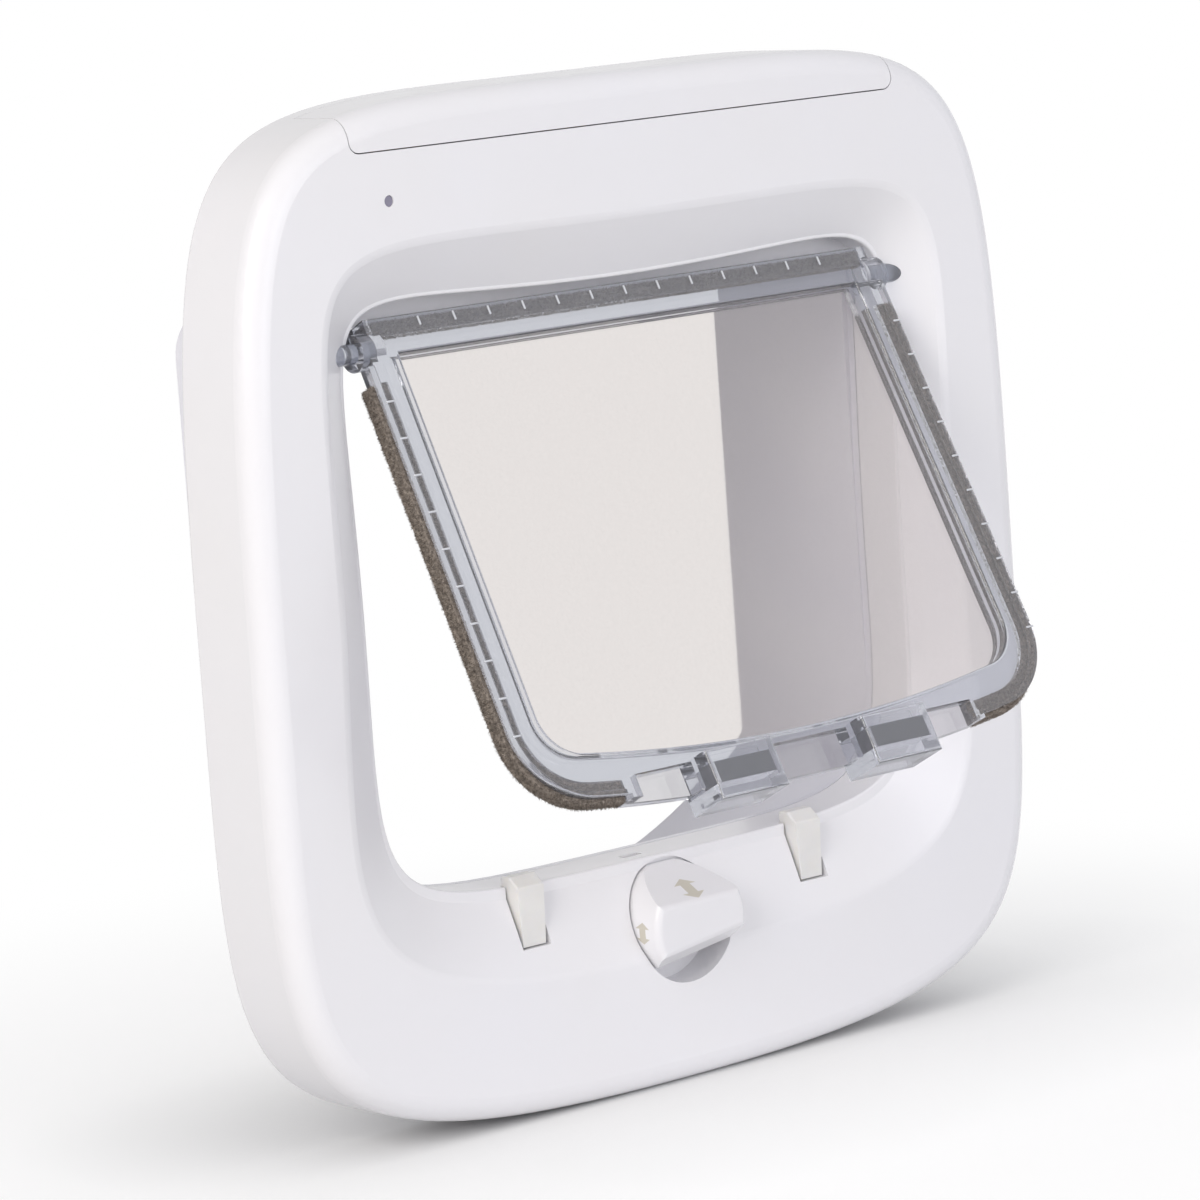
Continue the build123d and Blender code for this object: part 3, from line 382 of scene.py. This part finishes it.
def plain_moulding(name, colour, gloss, grain_mm, ior, glow=0.0, band=None):
    """Moulded, printed or sintered solid: fine grain in the gloss and a faint cloud.

    The eye sees an even satin surface whose highlight breaks up at the grain's size; a natural
    resin also glows a little at its thin edges. A band is a second colour that comes back along
    x: its colour, its pitch in millimetres and its share of the pitch.
    """
    material, tree, place, output = new_material(name)
    cloud = add_node(
        tree, "ShaderNodeTexNoise", {"Vector": place, "Scale": per_mm(6), "Detail": 3.0}
    )
    deeper = tuple(c * 0.9 for c in colour[:3]) + (1.0,)
    shade = add_node(
        tree, "ShaderNodeMix", {0: cloud.outputs[0], 6: deeper, 7: colour}, data_type="RGBA"
    )
    if band:
        along = add_node(tree, "ShaderNodeSeparateXYZ", {0: place}).outputs[0]
        turns = add_node(
            tree, "ShaderNodeMath", {0: along, 1: per_mm(band[1]), 2: 0.5}, operation="MULTIPLY_ADD"
        )
        phase = add_node(tree, "ShaderNodeMath", {0: turns.outputs[0]}, operation="FRACT")
        inside = add_node(
            tree, "ShaderNodeMath", {0: phase.outputs[0], 1: band[2]}, operation="LESS_THAN"
        )
        shade = add_node(
            tree, "ShaderNodeMix", {0: inside.outputs[0], 6: shade.outputs[2], 7: band[0]},
            data_type="RGBA",
        )
    grain = add_node(
        tree, "ShaderNodeTexNoise", {"Vector": place, "Scale": per_mm(grain_mm), "Detail": 2.0}
    )
    rough = add_node(
        tree, "ShaderNodeMapRange",
        {"Value": grain.outputs[0], "To Min": gloss - 0.08, "To Max": gloss + 0.08},
    )
    bump = add_node(
        tree, "ShaderNodeBump",
        {"Height": grain.outputs[0], "Strength": 0.15, "Distance": 0.03 * MM},
    )
    shader = add_node(
        tree, "ShaderNodeBsdfPrincipled",
        {
            "Base Color": shade.outputs[2],
            "Roughness": rough.outputs[0],
            "IOR": ior,
            "Subsurface Weight": glow,
            "Subsurface Radius": (0.9, 0.8, 0.6),
            "Subsurface Scale": 1.5 * MM,
            "Normal": bump.outputs[0],
        },
    )
    tree.links.new(shader.outputs[0], output.inputs[0])
    return material


def plated_metal(name, colour, gloss, turn_mm):
    """Drawn or turned metal with a thin bright plating.

    The eye sees fine lines left by the tool, which spread the highlight along the piece.
    """
    material, tree, place, output = new_material(name)
    lines = add_node(
        tree, "ShaderNodeTexNoise",
        {
            "Vector": add_node(
                tree, "ShaderNodeMapping", {"Vector": place, "Scale": (0.1, 1.0, 1.0)}
            ).outputs[0],
            "Scale": per_mm(turn_mm),
            "Detail": 3.0,
        },
    )
    deeper = tuple(c * 0.75 for c in colour[:3]) + (1.0,)
    shade = add_node(
        tree, "ShaderNodeMix", {0: lines.outputs[0], 6: deeper, 7: colour}, data_type="RGBA"
    )
    rough = add_node(
        tree, "ShaderNodeMapRange",
        {"Value": lines.outputs[0], "To Min": gloss - 0.08, "To Max": gloss + 0.1},
    )
    shader = add_node(
        tree, "ShaderNodeBsdfPrincipled",
        {"Base Color": shade.outputs[2], "Roughness": rough.outputs[0], "Metallic": 1.0},
    )
    tree.links.new(shader.outputs[0], output.inputs[0])
    return material


def dress(node, *materials):
    """Puts finished materials on a CAD node's slots."""
    slots = nodes[node].data.materials
    slots.clear()
    for material in materials:
        slots.append(material)


def make_piece(name, mesh, body, slot, *materials):
    """Object at the origin for a finished mesh, riding on a body with the given materials; the slot
    is not used.
    """
    piece = bpy.data.objects.new(name, mesh)
    bpy.context.scene.collection.objects.link(piece)
    for material in materials:
        mesh.materials.append(material)
    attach(piece, body)
    return piece


def shaped(name, bm):
    """Mesh of a finished bmesh with its faces turned outwards."""
    bmesh.ops.recalc_face_normals(bm, faces=bm.faces)
    mesh = bpy.data.meshes.new(name)
    bm.to_mesh(mesh)
    bm.free()
    return mesh


def merged_copy(node, name):
    """Mesh copy of a CAD node with its loose triangles joined, shaded by the CAD's own normals."""
    source = nodes[node].data
    bm = bmesh.new()
    bm.from_mesh(source)
    kept = bm.loops.layers.float_vector.new("cad_normal")
    for face in bm.faces:
        for loop in face.loops:
            loop[kept] = source.corner_normals[loop.index].vector
    bmesh.ops.remove_doubles(bm, verts=bm.verts, dist=MERGE_REACH)
    mesh = bpy.data.meshes.new(name)
    bm.to_mesh(mesh)
    bm.free()
    mesh.shade_smooth()
    normals = [item.vector.copy() for item in mesh.attributes["cad_normal"].data]
    mesh.attributes.remove(mesh.attributes["cad_normal"])
    mesh.normals_split_custom_set(normals)
    return mesh


def flap_matrix():
    """Flap's own plane: x across, y up from the hinge axis, z out of its front face."""
    up = Vector((0, sin(FLAP_LEAN), cos(FLAP_LEAN)))
    out = Vector((0, -cos(FLAP_LEAN), sin(FLAP_LEAN)))
    turned = Matrix((Vector((1, 0, 0)), up, out)).transposed().to_4x4()
    return Matrix.Translation(Vector(hinge["pos_m"])) @ turned


class CATFLAP_OT_shells(bpy.types.Operator):
    """White moulded shells: frame, battery cover, tunnel and lock knob"""

    bl_idname = "catflap.shells"
    bl_label = "Dress shells"

    def execute(self, context):
        colours = context.scene.flap_finishes
        white = abs_moulded_white("ABS_moulded_white", colours.shell, colours.shell_warm)
        for node in ("front_cover", "battery_cover", "lock_knob"):
            dress(node, white)
        # Painted shade: the tunnel gets a darker, cooler copy of the frame's white.
        tunnel_painted_shade = abs_moulded_white("ABS_moulded_white_painted_shade", colours.tunnel_painted_shade, colours.shell)
        dress("rear_housing", tunnel_painted_shade)
        return {"FINISHED"}


class CATFLAP_OT_flap(bpy.types.Operator):
    """Clear flap with its sheet, rim nibs and magnets"""

    bl_idname = "catflap.flap"
    bl_label = "Dress flap"

    def execute(self, context):
        colours = context.scene.flap_finishes
        sizes = context.scene.flap_sizes
        # The rim's grey-blue colour is partly real tint and partly a painted reflection of darker
        # surroundings.
        rim = polycarbonate_clear("polycarbonate_rim_tint_and_painted_reflection", colours.clear, 3.0, 0.02, 0.1)
        sheet = polycarbonate_clear("polycarbonate_sheet_clear", colours.film, 0.7, 0.08)
        mesh = merged_copy("flap_panel", "flap_moulding")
        panel = make_piece("flap_moulding", mesh, "flap", "clear_pc", rim, sheet)
        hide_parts("flap_panel")
        dress("hinge_pins", rim)
        to_flap = flap_matrix().inverted()
        for face in mesh.polygons:
            middle = to_flap @ face.center
            if abs(middle.z) < SHEET_HALF and abs((to_flap.to_3x3() @ face.normal).z) > 0.99:
                face.material_index = 1
        # Painted highlight: the clear nibs are drawn as an opaque pale moulding that stands in for
        # their bright lines.
        self.nibs(sizes, plain_moulding("polycarbonate_nib_painted_highlight", colours.nib, 0.35, 0.3, 1.58))
        magnet = plain_moulding("ferrite_sintered", colours.magnet, 0.5, 0.25, 1.6)
        dress("flap_magnets", magnet)
        dress("sill_magnets", magnet)
        return {"FINISHED"}

    def nibs(self, sizes, highlight_white):
        """Small ribs that hold the pile in its channel, along both sides and the top bar."""
        bm = bmesh.new()
        spots = []
        for side in (1, -1):
            for step in range(NIBS_A_SIDE):
                drop = FIRST_NIB_DROP + step * sizes.nib_pitch
                across = LIP_EDGE + LIP_SPREAD * drop - NIB_INSET
                spots.append((side * across, -drop, SIDE_NIB_OUT, 0.0))
        for step in range(-NIBS_HALF_BAR, NIBS_HALF_BAR + 1):
            along = step * BAR_PITCH * sizes.nib_pitch
            spots.append((along, BAR_NIB_UP, BAR_NIB_OUT, radians(90)))
        for x, y, z, turn in spots:
            place = Matrix.Translation((x, y, z)) @ Matrix.Rotation(turn, 4, "Z")
            size = Matrix.Diagonal((sizes.nib_length, sizes.nib_width, NIB_HEIGHT, 1.0))
            made = bmesh.ops.create_cube(bm, size=1.0, matrix=flap_matrix() @ place @ size)
            edges = {edge for vert in made["verts"] for edge in vert.link_edges}
            bmesh.ops.bevel(
                bm, geom=list(edges), offset=NIB_BEVEL, offset_type="OFFSET", affect="EDGES",
                segments=2, profile=0.5, material=-1,
            )
        mesh = shaped("rim_nibs", bm)
        mesh.shade_smooth()
        make_piece("rim_nibs", mesh, "flap", "clear_pc", highlight_white)


class CATFLAP_OT_pile(bpy.types.Operator):
    """Pile strips of short fibres along the flap's sides and top"""

    bl_idname = "catflap.pile"
    bl_label = "Grow pile"

    def execute(self, context):
        sizes = context.scene.flap_sizes
        fibre = polypropylene_pile(context.scene.flap_finishes)
        tufting = self.tufting(sizes, fibre)
        for node in ("pile_left", "pile_right", "pile_top"):
            base = merged_copy(node, node + "_backing")
            for vert in base.vertices:
                vert.co -= vert.normal * sizes.pile_inset
            backing = bpy.data.objects.new(node + "_backing", base)
            context.scene.collection.objects.link(backing)
            base.materials.append(fibre)
            tufts = backing.modifiers.new("tufts", "NODES")
            tufts.node_group = tufting
            grown = backing.evaluated_get(context.evaluated_depsgraph_get())
            mesh = bpy.data.meshes.new_from_object(grown)
            mesh.name = node + "_tufts"
            bpy.data.objects.remove(backing)
            piece = make_piece(node + "_tufts", mesh, "flap", "pile")
            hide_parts(node)
        return {"FINISHED"}

    def tufting(self, sizes, fibre):
        """Node group that scatters leaning fibres over a strip's faces."""
        group = bpy.data.node_groups.new("pile_tufting", "GeometryNodeTree")
        for way in ("INPUT", "OUTPUT"):
            group.interface.new_socket("Geometry", in_out=way, socket_type="NodeSocketGeometry")
        strip = add_node(group, "NodeGroupInput").outputs[0]
        sown = add_node(
            group, "GeometryNodeDistributePointsOnFaces",
            {"Mesh": strip, "Density": sizes.fibre_spacing ** -2, "Seed": sizes.fibre_seed},
        )
        cone = add_node(
            group, "GeometryNodeMeshCone",
            {
                "Vertices": 3,
                "Radius Top": sizes.fibre_radius * FIBRE_TIP,
                "Radius Bottom": sizes.fibre_radius,
                "Depth": sizes.fibre_length,
            },
            fill_type="NONE",
        )
        furthest = (FIBRE_LEAN, FIBRE_LEAN, FIBRE_TURN)
        lean = add_node(
            group, "FunctionNodeRandomValue",
            {0: tuple(-angle for angle in furthest), 1: furthest, "Seed": 1},
            data_type="FLOAT_VECTOR",
        )
        size = add_node(
            group, "FunctionNodeRandomValue",
            {2: FIBRE_SMALLEST, 3: FIBRE_LARGEST, "Seed": 2}, data_type="FLOAT",
        )
        planted = add_node(
            group, "GeometryNodeInstanceOnPoints",
            {
                "Points": sown.outputs["Points"],
                "Instance": cone.outputs["Mesh"],
                "Rotation": sown.outputs["Rotation"],
                "Scale": size.outputs[1],
            },
        )
        leaning = add_node(
            group, "GeometryNodeRotateInstances",
            {"Instances": planted.outputs[0], "Rotation": lean.outputs[0], "Local Space": True},
        )
        real = add_node(group, "GeometryNodeRealizeInstances", {0: leaning.outputs[0]})
        coloured = add_node(
            group, "GeometryNodeSetMaterial", {"Geometry": real.outputs[0], "Material": fibre}
        )
        both = add_node(group, "GeometryNodeJoinGeometry", {0: coloured.outputs[0]})
        group.links.new(strip, both.inputs[0])
        add_node(group, "NodeGroupOutput", {0: both.outputs[0]})
        return group


class CATFLAP_OT_latch(bpy.types.Operator):
    """Latch pawls with their bar, the lock's bolt and pinion, and the solenoid"""

    bl_idname = "catflap.latch"
    bl_label = "Dress latch and lock"

    def execute(self, context):
        colours = context.scene.flap_finishes
        nylon = plain_moulding("nylon_moulded_natural", colours.nylon, 0.42, 0.5, 1.53, 0.35)
        acetal = plain_moulding("acetal_moulded_white", linear("#E4E4DF"), 0.4, 0.4, 1.48)
        steel = plated_metal("steel_zinc_plated", linear("#B9BBBF"), 0.3, 0.3)
        wire = plated_metal("copper_wire_enamelled", linear("#A8572C"), 0.35, 0.4)
        for node in ("pawl_left", "pawl_right"):
            dress(node, nylon)
        for node in ("latch_bar", "lock_bolt", "lock_pinion", "learn_button"):
            dress(node, acetal)
        for node in ("plunger", "solenoid_frame", "knob_screw", "housing_screws"):
            dress(node, steel)
        for node in ("solenoid_coil", "reader_coil"):
            dress(node, wire)
        return {"FINISHED"}


class CATFLAP_OT_battery(bpy.types.Operator):
    """Battery tray, cells and contacts, board, switch and lens"""

    bl_idname = "catflap.battery"
    bl_label = "Dress battery and board"

    def execute(self, context):
        colours = context.scene.flap_finishes
        black = plain_moulding("ABS_moulded_black", linear("#1B1C1E"), 0.5, 0.5, 1.53)
        dress("battery_tray", black)
        dress("learn_switch", black)
        sleeve = (colours.band, *CELL_BAND)
        dress(
            "battery_cells",
            plain_moulding("PVC_sleeve_printed", colours.sleeve, 0.3, 1.0, 1.53, band=sleeve),
        )
        dress("battery_contacts", plated_metal("steel_nickel_plated", linear("#C9C5BC"), 0.25, 0.3))
        tracks = (linear("#2F7A48"), *TRACK_BAND)
        dress(
            "circuit_board",
            plain_moulding("FR4_solder_mask", colours.mask, 0.35, 0.6, 1.5, band=tracks),
        )
        tinted = plain_moulding("polycarbonate_lens_tinted", linear("#8F8B9E"), 0.2, 0.5, 1.585)
        dress("led_lens", tinted)
        return {"FINISHED"}


class CATFLAP_OT_signs(bpy.types.Operator):
    """Printed double arrow on the lock knob's top facet and its wall"""

    bl_idname = "catflap.signs"
    bl_label = "Print signs"

    def execute(self, context):
        sizes = context.scene.flap_sizes
        colours = context.scene.flap_finishes
        ink = plain_moulding("ink_pad_printed", colours.print_ink, 0.6, 0.3, 1.5)
        up_facet = Vector((0, cos(FACET_SLOPE), sin(FACET_SLOPE)))
        off_facet = Vector((0, -sin(FACET_SLOPE), cos(FACET_SLOPE)))
        facet = Matrix((Vector((1, 0, 0)), up_facet, off_facet)).transposed().to_4x4()
        bm = bmesh.new()
        self.arrow(bm, sizes.arrow_length, sizes.arrow_width, sizes.print_thickness)
        bmesh.ops.transform(bm, matrix=Matrix.Translation(FACET_MIDDLE) @ facet, verts=bm.verts)
        make_piece("knob_arrow", shaped("knob_arrow", bm), "knob", "white_abs", ink)
        self.wall_mark(sizes, ink)
        return {"FINISHED"}

    def wall_mark(self, sizes, ink):
        """Second arrow, wrapped round the knob's wall."""
        centre = Vector((0, WALL_MARK_Y, knob["pos_m"][2]))
        width = sizes.mark_length * WALL_MARK_WIDTH
        bm = bmesh.new()
        self.arrow(bm, sizes.mark_length, width, sizes.print_thickness)
        for step in range(-4, 5):
            bmesh.ops.bisect_plane(
                bm, geom=[*bm.verts, *bm.edges, *bm.faces],
                plane_co=(0, step * sizes.mark_length / 10, 0), plane_no=(0, 1, 0),
            )
        for vert in bm.verts:
            out = KNOB_RADIUS + vert.co.z
            turn = vert.co.y / KNOB_RADIUS + WALL_MARK_TURN
            vert.co = centre + Vector((-out * cos(turn), vert.co.x, out * sin(turn)))
        make_piece("knob_wall_arrow", shaped("knob_wall_arrow", bm), "knob", "white_abs", ink)

    def arrow(self, bm, reach, width, thickness):
        """Double arrow along y, with its print's thickness above z nought."""
        half = reach / 2
        head = half * ARROW_HEAD
        wide = width / 2
        shaft = wide * ARROW_SHAFT
        right = [(0, half), (wide, half - head), (shaft, half - head)]
        right += [(x, -y) for x, y in reversed(right)]
        outline = right + [(-x, y) for x, y in reversed(right)][1:-1]
        face = bm.faces.new([bm.verts.new((x, y, 0)) for x, y in outline])
        made = bmesh.ops.extrude_face_region(bm, geom=[face])
        lifted = [item for item in made["geom"] if isinstance(item, bmesh.types.BMVert)]
        bmesh.ops.translate(bm, verts=lifted, vec=(0, 0, thickness))


class CATFLAP_OT_stage(bpy.types.Operator):
    """Pale floor, even light, two soft lamps and the camera"""

    bl_idname = "catflap.stage"
    bl_label = "Set stage"

    def execute(self, context):
        scene = context.scene
        stage = scene.flap_stage
        scene.view_settings.view_transform = "Standard"
        self.floor(scene, stage)
        self.sky(scene, stage)
        self.lamp(scene, "key_lamp", KEY_SPOT, KEY_SIZE, stage.key, stage.key_tint)
        self.lamp(scene, "front_lamp", FRONT_SPOT, FRONT_SIZE, stage.front, stage.sky_tint)
        view = bpy.data.cameras.new("camera")
        view.lens = stage.lens
        view.sensor_width = SENSOR_MM
        view.clip_end = 100.0
        camera = bpy.data.objects.new("camera", view)
        turned = Matrix((CAMERA_RIGHT, -CAMERA_DOWN, -CAMERA_AHEAD)).transposed().to_4x4()
        camera.matrix_world = Matrix.Translation(CAMERA_SPOT) @ turned
        scene.collection.objects.link(camera)
        scene.camera = camera
        return {"FINISHED"}

    def lamp(self, scene, name, spot, size, power, colour):
        """Square soft lamp aimed at the middle of the frame."""
        light = bpy.data.lights.new(name, "AREA")
        light.size = size
        light.energy = power
        light.color = colour[:3]
        lamp = bpy.data.objects.new(name, light)
        lamp.location = spot
        lamp.rotation_euler = (-Vector(spot)).to_track_quat("-Z", "Y").to_euler()
        scene.collection.objects.link(lamp)

    def sky(self, scene, stage):
        """Even light all round, seen as plain white behind the object and in its clear parts."""
        world = bpy.data.worlds.new("studio")
        world.use_nodes = True
        tree = world.node_tree
        tree.nodes.clear()
        way = add_node(tree, "ShaderNodeTexCoord").outputs["Generated"]
        back = add_node(tree, "ShaderNodeSeparateXYZ", {0: way}).outputs["Y"]
        light = add_node(
            tree, "ShaderNodeMapRange",
            {"Value": back, "From Min": -1.0, "To Min": stage.sky, "To Max": stage.shade},
        )
        seen = seen_rays(tree)
        strength = add_node(
            tree, "ShaderNodeMapRange",
            {"Value": seen, "To Min": light.outputs[0], "To Max": 1.0},
        )
        colour = add_node(
            tree, "ShaderNodeMix", {0: seen, 6: stage.sky_tint, 7: WHITE},
            data_type="RGBA",
        )
        glow = add_node(
            tree, "ShaderNodeBackground",
            {"Color": colour.outputs[2], "Strength": strength.outputs[0]},
        )
        add_node(tree, "ShaderNodeOutputWorld", {0: glow.outputs[0]})
        scene.world = world

    def floor(self, scene, stage):
        """Wide pale floor that keeps the shadow near the object and fades to white beyond; near the
        object its glow is darkened by ambient occlusion, a painted contact shadow.
        """
        bm = bmesh.new()
        bmesh.ops.create_circle(
            bm, cap_ends=True, segments=64, radius=FLOOR_RADIUS,
            matrix=Matrix.Translation((0, 0, cad_box[0][2])),
        )
        mesh = shaped("studio_floor", bm)
        material, tree, place, output = new_material("paper_sweep_white")
        away = add_node(tree, "ShaderNodeVectorMath", {0: place}, operation="LENGTH")
        share = add_node(
            tree, "ShaderNodeMapRange",
            {
                "Value": away.outputs["Value"],
                "From Min": FADE_FROM,
                "From Max": FADE_TO,
                "To Min": stage.floor_glow,
            },
            interpolation_type="SMOOTHSTEP",
        )
        fill = add_node(
            tree, "ShaderNodeMath", {0: 1 - stage.floor_level, 1: share.outputs[0]},
            operation="DIVIDE",
        )
        level = add_node(
            tree, "ShaderNodeMath", {0: fill.outputs[0], 1: stage.floor_level}, operation="ADD"
        )
        # Painted contact shadow: ambient occlusion darkens the floor's glow near the object.
        corner = add_node(
            tree, "ShaderNodeAmbientOcclusion", {"Distance": PAINTED_SHADE_REACH}, samples=2
        )
        glow = add_node(
            tree, "ShaderNodeMath", {0: level.outputs[0], 1: corner.outputs["AO"]},
            operation="MULTIPLY",
        )
        white = add_node(
            tree, "ShaderNodeEmission",
            {"Color": WHITE, "Strength": glow.outputs[0]},
        )
        lit = add_node(tree, "ShaderNodeBsdfDiffuse", {"Color": stage.floor})
        shown = add_node(
            tree, "ShaderNodeMath", {0: share.outputs[0], 1: seen_rays(tree)}, operation="MULTIPLY"
        )
        mixed = add_node(
            tree, "ShaderNodeMixShader",
            {0: shown.outputs[0], 1: lit.outputs[0], 2: white.outputs[0]},
        )
        tree.links.new(mixed.outputs[0], output.inputs[0])
        mesh.materials.append(material)
        ground = bpy.data.objects.new("studio_floor", mesh)
        scene.collection.objects.link(ground)


class CATFLAP_PT_panel(bpy.types.Panel):
    """Sizes, colours and steps of the cat flap's looks"""

    bl_idname = "CATFLAP_PT_panel"
    bl_label = "Cat flap"
    bl_space_type = "VIEW_3D"
    bl_region_type = "UI"
    bl_category = "Cat flap"

    def draw(self, context):
        layout = self.layout
        scene = context.scene
        for group in (scene.flap_finishes, scene.flap_sizes, scene.flap_stage):
            box = layout.box()
            for name in type(group).__annotations__:
                box.prop(group, name)
        for step in STEPS:
            layout.operator(step.bl_idname)


STEPS = (
    CATFLAP_OT_shells,
    CATFLAP_OT_flap,
    CATFLAP_OT_pile,
    CATFLAP_OT_latch,
    CATFLAP_OT_battery,
    CATFLAP_OT_signs,
    CATFLAP_OT_stage,
)
CLASSES = (FlapFinishes, FlapSizes, FlapStage, *STEPS, CATFLAP_PT_panel)


def register():
    """Adds the classes and the scene's three groups of settings."""
    for cls in CLASSES:
        bpy.utils.register_class(cls)
    bpy.types.Scene.flap_finishes = PointerProperty(type=FlapFinishes)
    bpy.types.Scene.flap_sizes = PointerProperty(type=FlapSizes)
    bpy.types.Scene.flap_stage = PointerProperty(type=FlapStage)


def unregister():
    """Takes the settings and classes out again."""
    for name in ("flap_finishes", "flap_sizes", "flap_stage"):
        delattr(bpy.types.Scene, name)
    for cls in reversed(CLASSES):
        bpy.utils.unregister_class(cls)


def main():
    """Runs every step in order."""
    register()
    bpy.ops.catflap.shells()
    bpy.ops.catflap.flap()
    bpy.ops.catflap.pile()
    bpy.ops.catflap.latch()
    bpy.ops.catflap.battery()
    bpy.ops.catflap.signs()
    bpy.ops.catflap.stage()


if __name__ == "__main__":
    main()
